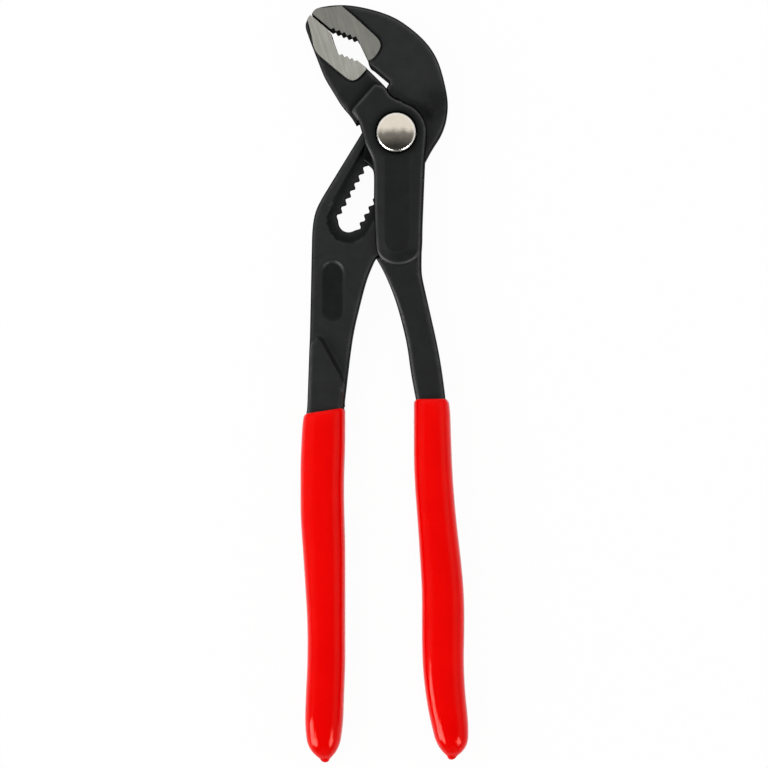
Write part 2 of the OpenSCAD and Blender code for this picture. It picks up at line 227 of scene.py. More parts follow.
def make_world():
    """White to the camera and an even grey fill; reflections see a grey room, bright behind and at right."""
    world = bpy.data.worlds.new("studio")
    scene.world = world
    world.use_nodes = True
    tree = world.node_tree
    tree.nodes.clear()
    direction = tree.nodes.new("ShaderNodeTexCoord").outputs["Generated"]
    way = add(tree, "ShaderNodeSeparateXYZ", None, Vector=direction).outputs
    narrow = add(tree, "ShaderNodeMapping", None, Vector=direction, Scale=STREAK_SCALE).outputs[0]
    streaks = maths(tree, "SUBTRACT", noise_at(tree, narrow, 1.0, 3.0), 0.5)
    depth = maths(tree, "ADD", way["Y"], maths(tree, "MULTIPLY", streaks, ROOM_STREAKS))
    back = between(tree, depth, *BACK_RISE, 0.0, ROOM_BACK)
    front = between(tree, depth, *FRONT_RISE, ROOM_DARK, ROOM_MIDDLE)
    right = between(tree, way["X"], *RIGHT_RISE, 0.0, ROOM_RIGHT)
    overhead = maths(tree, "MAXIMUM", maths(tree, "MAXIMUM", back, front), right)
    share = between(tree, way["Z"], *HORIZON_RISE, 0.0, 1.0)
    room = add(tree, "ShaderNodeMix", None, Factor=share, A=ROOM_HORIZON, B=overhead).outputs[0]
    seen, mirrored = ray_kinds(tree)
    level = add(tree, "ShaderNodeMix", None, Factor=mirrored, A=ROOM_LEVEL, B=room).outputs[0]
    strength = maths(tree, "MAXIMUM", level, seen)
    sky = add(tree, "ShaderNodeBackground", None, Color=WHITE, Strength=strength)
    add(tree, "ShaderNodeOutputWorld", None, Surface=sky.outputs[0])


make_floor()
make_world()
print("floor and world made")

# %% Lights
LIGHT_AIM = Vector((-4, -60, 6)) * MM
LIGHTS = {
    "soft_light_top": {"at": (0.0, 0.6, 0.95), "size": (1.5, 0.95), "watts": 4.6, "mirrored": False},
    "soft_light_left": {"at": (-0.95, -0.1, 0.65), "size": (0.5, 1.0), "watts": 7.0, "mirrored": False},
    "soft_light_right": {"at": (0.95, -0.1, 0.65), "size": (0.4, 0.9), "watts": 3.2, "mirrored": False},
    "soft_light_front": {"at": (-0.1, -1.1, 0.4), "size": (0.9, 0.5), "watts": 2.6, "mirrored": False},
    "glint_light_left": {"at": (-0.48, -0.70, 0.56), "size": (0.30, 0.34), "watts": 5.4, "mirrored": True},
    "glint_light_right": {"at": (0.46, -0.70, 0.58), "size": (0.36, 0.34), "watts": 5.6, "mirrored": True},
    "edge_light_left": {"at": (-0.85, -0.59, 0.43), "size": (0.5, 0.5), "watts": 11.5, "mirrored": True},
}

for name, light in LIGHTS.items():
    lamp = bpy.data.lights.new(name, "AREA")
    lamp.shape = "RECTANGLE"
    lamp.size, lamp.size_y = light["size"]
    lamp.energy = light["watts"]
    holder = bpy.data.objects.new(name, lamp)
    holder.location = light["at"]
    holder.visible_glossy = light["mirrored"]
    holder.visible_diffuse = not light["mirrored"]
    holder.rotation_euler = (LIGHT_AIM - holder.location).to_track_quat("-Z", "Y").to_euler()
    scene.collection.objects.link(holder)
    print(name, light["watts"], "W")

# %% [markdown]
# ## Shared surface effects
# Four effects return on more than one finish, so each is a node group. Mottle is a slow and a fine
# cloud for colour, gloss and bump. Brush lines are the parallel marks of a grinding belt. Turning lines
# are the rings that a lathe or a buffing wheel leaves around the pivot. Edge rub reads the mask that
# the mesh code stores along edges and breaks it up; it is partly wear and partly painted highlight.

# %% Mottle group
def make_mottle():
    group, given, out = open_group("mottle", {"Cloud": 150.0, "Grain": 2500.0}, ["Cloud", "Grain"])
    place = object_place(group)
    for label in ("Cloud", "Grain"):
        cloud = noise_at(group, place, given[label], 4.0, 0.6)
        group.links.new(between(group, cloud, 0.3, 0.7, 0.0, 1.0), out[label])
    return group


mottle = make_mottle()
print(mottle.name, "group made")


# %% Brush line group
DRAWN_OUT = (1.0, 0.03, 0.2)


def make_brush_lines():
    sizes = {"Angle": 0.0, "Fine": 9000.0, "Broad": 1500.0}
    group, given, out = open_group("brush_lines", sizes, ["Lines"])
    turn = add(group, "ShaderNodeVectorRotate", {"rotation_type": "Z_AXIS"}, Vector=object_place(group),
               Angle=given["Angle"]).outputs[0]
    drawn = add(group, "ShaderNodeMapping", None, Vector=turn, Scale=DRAWN_OUT).outputs[0]
    fine = maths(group, "MULTIPLY", noise_at(group, drawn, given["Fine"], 3.0), 0.6)
    broad = maths(group, "MULTIPLY", noise_at(group, drawn, given["Broad"], 2.0), 0.4)
    lines = maths(group, "ADD", fine, broad)
    group.links.new(between(group, lines, 0.35, 0.65, 0.0, 1.0), out["Lines"])
    return group


brush_lines = make_brush_lines()
print(brush_lines.name, "group made")


# %% Turning line group
def make_turning_lines():
    group, given, out = open_group("turning_lines", {"Rings": 6000.0, "Around": 0.02}, ["Lines"])
    flat = add(group, "ShaderNodeSeparateXYZ", None, Vector=object_place(group)).outputs
    squares = [maths(group, "POWER", flat[axis], 2.0) for axis in "XY"]
    radius = maths(group, "SQRT", maths(group, "ADD", *squares))
    angle = maths(group, "ARCTAN2", flat["Y"], flat["X"])
    around = maths(group, "MULTIPLY", angle, maths(group, "MULTIPLY", given["Around"], 0.01))
    ring = add(group, "ShaderNodeCombineXYZ", None, X=radius, Y=around, Z=flat["Z"]).outputs[0]
    lines = noise_at(group, ring, given["Rings"], 3.0)
    group.links.new(between(group, lines, 0.3, 0.7, 0.0, 1.0), out["Lines"])
    return group


turning_lines = make_turning_lines()
print(turning_lines.name, "group made")


# %% Edge rub and painted highlight group
# Mask along edges: partly wear, partly a painted highlight.
EDGE_RUB_AND_HIGHLIGHT_MASK = "worn_and_highlit_edge"


def make_edge_rub():
    group, given, out = open_group("edge_rub_and_highlight", {"Amount": 0.5, "Patch": 350.0}, ["Rub"])
    mask = add(group, "ShaderNodeAttribute", {"attribute_name": EDGE_RUB_AND_HIGHLIGHT_MASK}).outputs["Fac"]
    patch = noise_at(group, object_place(group), given["Patch"], 5.0)
    # Wear and painted highlight: the edge mask, broken up by patches.
    worn_and_highlit = maths(group, "MULTIPLY", mask, between(group, patch, 0.35, 0.65, 0.5, 1.0))
    group.links.new(maths(group, "MULTIPLY", worn_and_highlit, given["Amount"]), out["Rub"])
    return group


edge_rub_and_highlight = make_edge_rub()
print(edge_rub_and_highlight.name, "group made")

# %% [markdown]
# ## Finishes
# The levers are oiled black forgings: nearly black, half matt, with the fine grain of shot-blasted
# scale and a grey rub along their edges, which is partly wear and partly painted highlight. Faces in
# the shade of a step get painted shade: a metallic share takes their stray light away, and nothing
# rubs them. The box lever is painted darker and the slot lever lighter, as painted shade and painted
# light on one finish. The jaw faces are belt-ground steel, warm grey and streaked; the upper one is
# painted darker as painted shade. The grips are vinyl that was dipped hot and cooled to a smooth gloss;
# a painted reflection pales them where they turn away. The button is buffed nickel, brighter along its
# rim, which is partly rub and partly painted highlight. The hidden lock parts are turned steel.

# %% Finish helpers
def new_finish(name, colour, roughness, **fixed):
    """A material with one Principled shader; fixed sockets are the same all over."""
    material = bpy.data.materials.new(name)
    material.use_nodes = True
    tree = material.node_tree
    shader = tree.nodes["Principled BSDF"]
    shader.inputs["Base Color"].default_value = colour
    shader.inputs["Roughness"].default_value = roughness
    for label, value in fixed.items():
        shader.inputs[label.replace("_", " ")].default_value = value
    return material, tree, shader.inputs


def raise_bump(tree, sockets, height, depth, strength):
    """Bump that is a real depth in metres high for each unit of its height."""
    bump = add(tree, "ShaderNodeBump", None, Height=height, Distance=depth, Strength=strength)
    tree.links.new(bump.outputs[0], sockets["Normal"])


print("finish helpers ready")

# %% Black forging
# Grey of the edge mask: partly rubbed scale, partly a painted highlight along the edges.
FORGED_RUB_AND_HIGHLIGHT = (0.06, 0.06, 0.06, 1)
FORGED_GLOSS = (0.28, 0.28, 0.28, 1)
FORGED_MATT = (0.37, 0.47)
FORGED_GRAIN = 0.022 * MM
# One forged black in two copies: the box lever's darker pair is painted shade, the slot lever's lighter pair
# painted light.
BOX_SHADED_BLACKS = ((0.006, 0.0065, 0.0063, 1), (0.009, 0.0098, 0.0095, 1))
SLOT_LIT_BLACKS = ((0.0103, 0.0111, 0.0107, 1), (0.0148, 0.0158, 0.0153, 1))
# Mask of painted shade: faces in the shade of a step are painted nearly black.
PAINTED_SHADE_MASK = "painted_shade_face"


def make_black_forging(name, dark, light):
    """Oiled black scale, grey along edges from rub and painted highlight; painted shade turns faces near
    black.
    """
    material, tree, sockets = new_finish(name, dark, 0.5, Specular_IOR_Level=0.8, Specular_Tint=FORGED_GLOSS)
    skin = place_group(tree, mottle, Cloud=220.0, Grain=3200.0)
    # Painted shade: the mask raises the metallic share, which takes the stray light of shaded faces away.
    painted_shade = add(tree, "ShaderNodeAttribute", {"attribute_name": PAINTED_SHADE_MASK}).outputs["Fac"]
    rub_and_highlight = place_group(tree, edge_rub_and_highlight, Amount=0.8, Patch=300.0)["Rub"]
    rub_and_highlight = maths(tree, "MULTIPLY", rub_and_highlight, maths(tree, "SUBTRACT", 1.0, painted_shade))
    scale = blend_colour(tree, skin["Cloud"], dark, light)
    tree.links.new(painted_shade, sockets["Metallic"])
    tree.links.new(blend_colour(tree, rub_and_highlight, scale, FORGED_RUB_AND_HIGHLIGHT), sockets["Base Color"])
    matt = between(tree, skin["Grain"], 0.0, 1.0, *FORGED_MATT)
    tree.links.new(maths(tree, "SUBTRACT", matt, maths(tree, "MULTIPLY", rub_and_highlight, 0.12)), sockets["Roughness"])
    height = maths(tree, "ADD", skin["Grain"], maths(tree, "MULTIPLY", skin["Cloud"], 1.5))
    raise_bump(tree, sockets, height, FORGED_GRAIN, 0.6)
    return material


box_forging = make_black_forging("black_forging_box_painted_shade", *BOX_SHADED_BLACKS)
slot_forging = make_black_forging("black_forging_slot_painted_light", *SLOT_LIT_BLACKS)
print(box_forging.name, "and", slot_forging.name, "made")

# %% Ground jaw face
BRUSH_ANGLE = math.radians(-18)
GROUND_MATT = (0.34, 0.5)
SCRATCH_DEPTH = 0.006 * MM
LOWER_STEELS = ((0.61, 0.607, 0.545, 1), (0.42, 0.418, 0.376, 1))
# The upper jaw face is the same ground steel, painted darker as painted shade.
UPPER_SHADED_STEELS = ((0.345, 0.343, 0.307, 1), (0.26, 0.258, 0.232, 1))


def make_ground_steel(name, pale, dull):
    material, tree, sockets = new_finish(name, pale, 0.4, Metallic=1.0)
    belt = place_group(tree, brush_lines, Angle=BRUSH_ANGLE, Fine=7000.0, Broad=1400.0)["Lines"]
    skin = place_group(tree, mottle, Cloud=180.0, Grain=3000.0)
    tone = maths(tree, "ADD", maths(tree, "MULTIPLY", belt, 0.7), maths(tree, "MULTIPLY", skin["Cloud"], 0.3))
    tree.links.new(blend_colour(tree, tone, dull, pale), sockets["Base Color"])
    tree.links.new(between(tree, belt, 0.0, 1.0, *GROUND_MATT), sockets["Roughness"])
    raise_bump(tree, sockets, belt, SCRATCH_DEPTH, 0.5)
    return material


lower_ground = make_ground_steel("ground_lower_jaw", *LOWER_STEELS)
upper_ground = make_ground_steel("ground_upper_jaw_painted_shade", *UPPER_SHADED_STEELS)
print(lower_ground.name, "and", upper_ground.name, "made")

# %% Dipped vinyl
VINYL_DEEP = (0.82, 0.0005, 0.0004, 1)
VINYL_BRIGHT = (0.88, 0.001, 0.0006, 1)
# Painted reflection: the red pales towards this colour where the skin turns away from the camera.
VINYL_PAINTED_SHEEN = (0.95, 0.3, 0.27, 1)
VINYL_GLOSS = (1.0, 0.38, 0.3, 1)
VINYL_MATT = (0.08, 0.12)
VINYL_GRAIN = 0.003 * MM
SHEEN_TURN = (0.64, 0.92)
SHEEN_SHARE = 0.75


def make_red_vinyl():
    material, tree, sockets = new_finish("dipped_red_vinyl", VINYL_BRIGHT, 0.1, Specular_IOR_Level=0.24,
                                         Specular_Tint=VINYL_GLOSS)
    skin = place_group(tree, mottle, Cloud=60.0, Grain=900.0)
    facing = add(tree, "ShaderNodeLayerWeight", None, Blend=0.5).outputs["Facing"]
    red = blend_colour(tree, skin["Cloud"], VINYL_DEEP, VINYL_BRIGHT)
    # Painted reflection on the grips' edges, mixed into the base colour by how far a face turns away.
    rim = between(tree, facing, *SHEEN_TURN, 0.0, SHEEN_SHARE)
    tree.links.new(blend_colour(tree, rim, red, VINYL_PAINTED_SHEEN), sockets["Base Color"])
    tree.links.new(between(tree, skin["Cloud"], 0.0, 1.0, *VINYL_MATT), sockets["Roughness"])
    raise_bump(tree, sockets, skin["Grain"], VINYL_GRAIN, 0.2)
    return material


red_vinyl = make_red_vinyl()
print(red_vinyl.name, "made")

# %% Buffed nickel and turned steel
NICKEL_PALE = (0.80, 0.73, 0.62, 1)
NICKEL_DULL = (0.70, 0.635, 0.535, 1)
# Whitish rim colour: partly rub, partly a painted highlight on the button's rim.
RUBBED_AND_HIGHLIT = (1.0, 0.97, 0.93, 1)
STEEL_PALE = (0.56, 0.555, 0.54, 1)
STEEL_DULL = (0.42, 0.415, 0.40, 1)
RUBBED_MATT = 0.14
WAVE_SHARE = 30.0
TURNED_DEPTH = 0.002 * MM


def make_turned(name, pale, dull, rings, smooth, rough):
    """Bright metal with rings about the pivot: buffed fine for the button, coarser for the lock."""
    material, tree, sockets = new_finish(name, pale, rough, Metallic=1.0)
    lines = place_group(tree, turning_lines, Rings=rings)["Lines"]
    skin = place_group(tree, mottle, Cloud=260.0, Grain=2600.0)
    # Rub and painted highlight: the masked rim turns whiter.
    rub_and_highlight = place_group(tree, edge_rub_and_highlight, Amount=1.0, Patch=150.0)["Rub"]
    metal = blend_colour(tree, maths(tree, "MULTIPLY", lines, skin["Cloud"]), pale, dull)
    tree.links.new(blend_colour(tree, rub_and_highlight, metal, RUBBED_AND_HIGHLIT), sockets["Base Color"])
    gloss = between(tree, skin["Cloud"], 0.0, 1.0, smooth, rough)
    gloss = maths(tree, "ADD", gloss, maths(tree, "MULTIPLY", rub_and_highlight, RUBBED_MATT))
    tree.links.new(gloss, sockets["Roughness"])
    wave = maths(tree, "ADD", lines, maths(tree, "MULTIPLY", skin["Cloud"], WAVE_SHARE))
    raise_bump(tree, sockets, wave, TURNED_DEPTH, 0.25)
    return material


buffed_nickel = make_turned("buffed_nickel", NICKEL_PALE, NICKEL_DULL, 9000.0, 0.1, 0.14)
turned_steel = make_turned("turned_steel", STEEL_PALE, STEEL_DULL, 4500.0, 0.26, 0.38)
print(buffed_nickel.name, "and", turned_steel.name, "made")

# %% [markdown]
# ## Reading the solids
# The forged levers should follow the solids' outlines, so the outlines are read from them: a level
# plane cuts a solid at some height, and the cut leaves closed loops. Heights are read with a plumb line
# that drops on the solid. Everything is kept in millimetres until the mesh is written.

# %% Cuts and plumb lines
def cad_mesh(node):
    mesh = bmesh.new()
    mesh.from_mesh(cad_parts[node].data)
    bmesh.ops.remove_doubles(mesh, verts=mesh.verts, dist=1e-7)
    return mesh


def cut_loops(node, axis, place):
    """Closed loops where a plane square to an axis cuts a node, in millimetres on the other two axes."""
    mesh = cad_mesh(node)
    normal = Vector([float(k == axis) for k in range(3)])
    parts = mesh.verts[:] + mesh.edges[:] + mesh.faces[:]
    bmesh.ops.bisect_plane(mesh, geom=parts, plane_co=normal * place * MM, plane_no=normal, clear_inner=True,
                           clear_outer=True)
    shown = [k for k in range(3) if k != axis]
    loops, done = [], set()
    for start in mesh.verts:
        loop, here = [], start
        while here is not None and here not in done:
            done.add(here)
            loop.append([here.co[k] / MM for k in shown])
            ahead = [edge.other_vert(here) for edge in here.link_edges]
            here = next((vert for vert in ahead if vert not in done), None)
        if len(loop) > 2:
            loops.append(np.array(loop))
    mesh.free()
    return loops


def plumb(node, x, y):
    """Height of a node's front surface over a point, in millimetres."""
    mesh = cad_mesh(node)
    hit = BVHTree.FromBMesh(mesh).ray_cast(Vector((x * MM, y * MM, 1.0)), Vector((0, 0, -1)))[0]
    mesh.free()
    return hit.z / MM


joint_low, joint_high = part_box("box_lever")
MID = (joint_low.z + joint_high.z) / 2 / MM
print("middle plane at", round(MID, 2), "mm; lower jaw face at", round(plumb("box_lever", -20, 14), 2), "mm")

# %% [markdown]
# ## Outlines and distances
# A loop from a cut is a chain of straight facets. It is resampled to even steps and relaxed, with its
# true corners pinned, which turns the facets into a smooth forged outline. The distance of a point to
# the outlines is what shapes the forging: a die rounds every edge by how near it is to the outline.

# %% Outline helpers
OUTLINE_STEP = 0.45
CORNER_TURN = math.radians(24)


def turns(loop):
    """Angle by which a loop turns at each of its points."""
    ahead = np.roll(loop, -1, axis=0) - loop
    heading = np.arctan2(ahead[:, 1], ahead[:, 0])
    turn = heading - np.roll(heading, 1)
    return np.abs((turn + math.pi) % (2 * math.pi) - math.pi)


def relaxed(loop, held=None, rounds=10, soft=0):
    """A loop in even steps without facets; corners, or points that held picks, move in soft rounds only."""
    loop = loop[turns(loop) > math.radians(0.4)]
    pinned = turns(loop) > CORNER_TURN
    points, fixed = [], []
    for start, end, corner in zip(loop, np.roll(loop, -1, axis=0), pinned):
        steps = max(1, round(float(np.hypot(*(end - start))) / OUTLINE_STEP))
        points += [start + (end - start) * k / steps for k in range(steps)]
        fixed += [corner] + [False] * (steps - 1)
    points = np.array(points)
    free = ~(np.array(fixed) if held is None else held(points))[:, None]
    for k in range(rounds + soft):
        middle = (np.roll(points, 1, axis=0) + np.roll(points, -1, axis=0)) / 2
        points = points + (free | (k >= rounds)) * (middle - points) * 0.5
    return points


def depth_inside(points, loops, reach=12.0):
    """Signed distance to outlines in millimetres, positive inside; far points get minus the reach."""
    starts = np.concatenate(loops)
    ends = np.concatenate([np.roll(loop, -1, axis=0) for loop in loops])
    (sx, sy), (ax, ay) = starts.T, (ends - starts).T
    low, high = np.minimum(sy, ends[:, 1]), np.maximum(sy, ends[:, 1])
    inverse = 1 / (ax * ax + ay * ay)
    lean = ax / np.where(ay == 0, 1e-12, ay)
    depths = np.full(len(points), -reach)
    close = ((points > starts.min(0) - reach) & (points < starts.max(0) + reach)).all(1)
    for part in np.array_split(np.flatnonzero(close), 1 + close.sum() // 250):
        x, y = points[part].T[:, :, None]
        ox, oy = x - sx, y - sy
        share = np.clip((ox * ax + oy * ay) * inverse, 0, 1)
        near = np.sqrt(((ox - share * ax) ** 2 + (oy - share * ay) ** 2).min(1))
        crossed = (y >= low) & (y < high) & (ox < oy * lean)
        depths[part] = np.where(crossed.sum(1) % 2, near, -near)
    return depths


def metal_on_left(loops):
    """Turns each loop so that the metal lies on its left."""
    faced = []
    for loop in loops:
        step = loop[1] - loop[0]
        probe = (loop[0] + loop[1]) / 2 + np.array([-step[1], step[0]]) * 0.02
        faced.append(loop if depth_inside(probe[None], loops)[0] > 0 else loop[::-1])
    return faced


def outlines(node, height, **options):
    """Relaxed outlines of a node at a height, with the metal on their left."""
    return metal_on_left([relaxed(loop, **options) for loop in cut_loops(node, 2, height)])


def moved_in(loop, distance):
    """A loop moved towards the metal; the distance may differ from point to point."""
    tangent = np.roll(loop, -1, axis=0) - np.roll(loop, 1, axis=0)
    tangent /= np.hypot(tangent[:, 0], tangent[:, 1])[:, None]
    return loop + np.stack([-tangent[:, 1], tangent[:, 0]], 1) * np.reshape(distance, (-1, 1))


def clipped(loop, place, way):
    """The part of a loop that lies behind a line through a place, square to a way."""
    sides = (loop - place) @ way
    points = []
    for here, ahead, a, b in zip(loop, np.roll(loop, -1, axis=0), sides, np.roll(sides, -1)):
        if a <= 0:
            points.append(here)
        if a * b < 0:
            points.append(here + (ahead - here) * a / (a - b))
    return np.array(points)


def pushed_out(loops, place, reach, distance):
    """Outlines pushed outwards around one place, for a fillet that the plain solid leaves out."""
    return [moved_in(loop, -distance * np.exp(-((loop - place) ** 2).sum(1) / reach ** 2)) for loop in loops]


print("outline step", OUTLINE_STEP, "mm")

# %% [markdown]
# ## A forging as two pressed sheets
# A drop forging is pressed between two dies, so its front and its back are height fields that meet at
# the parting line on its sides. Each lever is made that way. Points are set along rings beside every
# outline, where the surface bends, and on an open grid where it is flat. A constrained triangulation
# joins them, a height function lifts them, and a wall with a low keel, the trimmed parting line, closes
# the sides. A bevel on the plain solids could not give these soft, changing edges.

# %% Height profiles
FACE_RIPPLE = 0.03
RIPPLE_SIZE = 7.0
FILLET_STEPS = (0.08, 0.3, 0.62, 1.0)


def smooth_step(value, low, high):
    share = np.clip((value - low) / (high - low), 0, 1)
    return share * share * (3 - 2 * share)


def edge_loss(depth, radius):
    """Height that an edge rounded to a quarter circle loses at a depth inside its outline."""
    share = np.clip(depth / radius, 0, 1)
    return radius * (1 - np.sqrt(1 - (1 - share) ** 2))


def terrace(depth, top, radius, wall):
    """Raised step with a rounded edge and a wall that falls off steeply outside."""
    return top - edge_loss(depth, radius) + np.minimum(depth, 0) * wall


def soft_max(a, b, blend):
    """The higher of two surfaces, with a small fillet where they meet."""
    overlap = np.clip(blend - np.abs(a - b), 0, None) / blend
    return np.maximum(a, b) + overlap ** 2 * blend / 4


def ripple(points, seed):
    """Slow unevenness of a forged face in millimetres."""
    places = (Vector((x / RIPPLE_SIZE, y / RIPPLE_SIZE, seed)) for x, y in points)
    return FACE_RIPPLE * np.array([noise.noise(place) for place in places])


print("profiles ready;", len(FILLET_STEPS), "steps round an edge")

# %% Pressed sheets
KEEL = 0.08
GRID_STEP = 1.1
ROW_SHARE = 0.87
POINT_GAP = 0.07
RIM_GAP = 0.03


def thinned(groups):
    """Joins groups of points in order and drops a point that is too close to one before it."""
    kept, cells = [], {}
    for points, always in groups:
        for x, y in points:
            i, j = int(x // POINT_GAP), int(y // POINT_GAP)
            near = [(a, b) for a in (i - 1, i, i + 1) for b in (j - 1, j, j + 1)]
            beside = [p for cell in near for p in cells.get(cell, ())]
            if always or all(math.hypot(x - p[0], y - p[1]) > POINT_GAP for p in beside):
                kept.append((x, y))
                cells.setdefault((i, j), []).append((x, y))
    return np.array(kept)


def open_grid(loops, step):
    """Staggered grid of points inside the outlines."""
    low, high = np.concatenate(loops).min(0), np.concatenate(loops).max(0)
    rows = np.arange(low[1], high[1], step * ROW_SHARE)
    grid = [(x + step / 2 * (k % 2), y) for k, y in enumerate(rows) for x in np.arange(low[0], high[0], step)]
    grid = np.array(grid)
    return grid[depth_inside(grid, loops) > step / 3]


def ring_points(rim, rings):
    """Points beside the outlines at their ring distances, where these lie inside the rim."""
    points = np.concatenate([moved_in(loop, distance) for loop, distance in rings])
    return points[depth_inside(points, rim) > RIM_GAP]


def pressed_solid(name, rim, rings, front, back):
    """Closed mesh of a forging; front and back give the height of points over the middle plane."""
    edge = [moved_in(loop, KEEL) for loop in rim]
    border = np.concatenate(edge)
    points = thinned([(border, True), (ring_points(edge, rings), False), (open_grid(edge, GRID_STEP), False)])
    bounds, first = [], 0
    for loop in edge:
        bounds += [(first + k, first + (k + 1) % len(loop)) for k in range(len(loop))]
        first += len(loop)
    flat = delaunay_2d_cdt([Vector(p) for p in points], bounds, [], 0, 1e-6, True)
    source = [origin[0] for origin in flat[3]]
    faces = np.array([[source[k] for k in face] for face in flat[2]])
    faces = faces[depth_inside(points[faces].mean(1), edge) > 0]
    corner = points[faces]
    across, along = corner[:, 1] - corner[:, 0], corner[:, 2] - corner[:, 0]
    clockwise = across[:, 0] * along[:, 1] < across[:, 1] * along[:, 0]
    faces[clockwise] = faces[clockwise][:, ::-1]
    count, rim_count = len(points), len(border)
    heights = [MID + front(points), MID - back(points), np.full(rim_count, MID)]
    plan = np.concatenate([points, points, np.concatenate(rim)])
    places = np.column_stack([plan, np.concatenate(heights)]) * MM
    walls = []
    for a, b in bounds:
        keel_a, keel_b = 2 * count + a, 2 * count + b
        walls += [(b, a, keel_a, keel_b), (keel_b, keel_a, count + a, count + b)]
    mesh = bpy.data.meshes.new(name)
    mesh.from_pydata(places.tolist(), [], faces.tolist() + (faces[:, ::-1] + count).tolist() + walls)
    made = bpy.data.objects.new(name, mesh)
    scene.collection.objects.link(made)
    return made


print("grid step", GRID_STEP, "mm")

# %% Cutters and edge masks
def prism(points, low, high):
    """Closed prism over a plain outline, used to cut a slot or a bore."""
    mesh = bmesh.new()
    base = [mesh.verts.new((x * MM, y * MM, low * MM)) for x, y in points]
    face = mesh.faces.new(base)
    lifted = bmesh.ops.extrude_face_region(mesh, geom=[face])["geom"]
    bmesh.ops.translate(mesh, verts=[v for v in lifted if isinstance(v, bmesh.types.BMVert)],
                        vec=(0, 0, (high - low) * MM))
    bmesh.ops.recalc_face_normals(mesh, faces=mesh.faces)
    return new_piece("cutter", mesh)


def circle(radius, steps=96):
    return [(radius * math.cos(a), radius * math.sin(a)) for a in np.arange(steps) * 2 * math.pi / steps]


def cut_away(piece, cutters):
    """Cuts the cutters out of a piece and removes them."""
    for cutter in cutters:
        step = piece.modifiers.new("cut", "BOOLEAN")
        step.operation = "DIFFERENCE"
        step.solver = "MANIFOLD"
        step.object = cutter
    shaped = piece.evaluated_get(bpy.context.evaluated_depsgraph_get())
    old, piece.data = piece.data, bpy.data.meshes.new_from_object(shaped)
    piece.modifiers.clear()
    bpy.data.meshes.remove(old)
    for cutter in cutters:
        bpy.data.meshes.remove(cutter.data)


def read_places(items, field):
    """Places of a mesh's points or faces as rows of millimetres."""
    places = np.zeros(len(items) * 3)
    items.foreach_get(field, places)
    return places.reshape(-1, 3) / MM


def read_numbers(items, field):
    """A whole number of each of a mesh's faces or corners."""
    numbers = np.zeros(len(items), np.int32)
    items.foreach_get(field, numbers)
    return numbers


def store_mask(mesh, name, mask):
    layer = mesh.attributes.new(name, "FLOAT", "POINT")
    layer.data.foreach_set("value", np.asarray(mask, np.float32))


def material_borders(mesh):
    """Edges where two finishes meet."""
    corners = read_numbers(mesh.polygons, "loop_total")
    finish = np.repeat(read_numbers(mesh.polygons, "material_index"), corners)
    edges = read_numbers(mesh.loops, "edge_index")
    least, most = np.ones(len(mesh.edges)), np.zeros(len(mesh.edges))
    np.minimum.at(least, edges, finish)
    np.maximum.at(most, edges, finish)
    return np.flatnonzero(least != most)


def shade(piece, sharp_degrees):
    """Smooth shading that breaks at real corners and where two finishes meet."""
    piece.data.polygons.foreach_set("use_smooth", [True] * len(piece.data.polygons))
    piece.data.set_sharp_from_angle(angle=math.radians(sharp_degrees))
    sharp = piece.data.attributes["sharp_edge"].data
    for k in material_borders(piece.data):
        sharp[k].value = True
    flat_normals = piece.modifiers.new("flat_face_normals", "WEIGHTED_NORMAL")
    flat_normals.keep_sharp = True


print("cutters ready")

# %% [markdown]
# ## Ground faces and shade
# Each jaw has a ground face that stands proud of the forging in a narrow groove. It keeps its corners
# where it meets the lever's rim and is rounded elsewhere. Faces in the shade of a step are marked with
# a mask. One table holds how strong each of these marks is.

# %% Ground faces and marks
GROUND_CUT = 11.3
GROUND_EDGE = 0.1
GROUND_GROOVE = 0.22
GROUND_FOOT = (0.1, 0.22, 0.38, 0.55, 0.8)
JAW_WALL = 6.0
RIM_REACH = 0.2
LEVER_CORNER = 45
SHADE = {"button": 0.8, "root": 0.6, "neck": 0.95, "flat": 0.2, "foot": 0.4, "border": 0.7, "wall": 0.95,
         "track": 0.62, "lower": 0.15, "panel": 0.72, "step": 0.45, "slope": 2.6}


def held_by(rim):
    """Picks the points of a ground face that lie on the lever's rim; the rest may be rounded."""
    return lambda points: np.abs(depth_inside(points, rim)) < RIM_REACH


def bump_at(value, middle, width):
    return np.exp(-((value - middle) / width) ** 2)


def ground_groove(ground):
    """Narrow sunk border that the die leaves around a ground face."""
    return GROUND_GROOVE * (1 - smooth_step(-ground, 0.35, 0.8))


def ground_shade(plan, ground, rim):
    """Mask of the border round a ground face and of the lever's outer walls."""
    inside = depth_inside(plan, ground)
    wall = 1 - smooth_step(depth_inside(plan, rim), 0.2, 0.6)
    return np.maximum(SHADE["border"] * bump_at(inside, -0.25, 0.2), SHADE["wall"] * wall)


print(len(SHADE), "marks for shaded faces")

# %% [markdown]
# ## Box lever
# This lever carries the lower jaw, the two cheeks of the box joint and the right handle. Its front is
# three terraces: the body, the cheek with its round boss and its long pad, and the ground jaw face. The
# cheek's pad falls away in two soft shoulders. The same heights serve the back. The slot between the
# cheeks and the bores of the lock are then cut out, as they are milled on the real one.

# %% Box lever heights
RIM_CUT = 9.15
CHEEK_CUT = 12.3
TALL_LOOP = 20
JAW_START = 16
BOSS_EDGE = 0.8
SHANK_EDGE = 1.9
CHEEK_WALL = 12.0
SHOULDER_DROP = 1.0
PAD_FLAT = [(-3.7, 0.0), (-3.7, -36.4), (-2.8, -38.5), (-0.7, -39.4),
            (1.2, -39.4), (3.3, -38.5), (4.2, -36.4), (4.2, 0.0)]
PAD_FOOT = np.array([0.5, -42.3])
ROOT_DIP = 0.6
NECK = np.array([-8.3, -7.6])
LOWER_TIP_EDGE = np.array([(-28.1, 38.5), (-26.0, 36.9), (-23.8, 35.1)])
LOWER_FLANK = np.array([-28.8, 33.0])
FACET_START = np.array([-12.2, 5.1])
FACET_WAY = np.array([-0.935, -0.355])

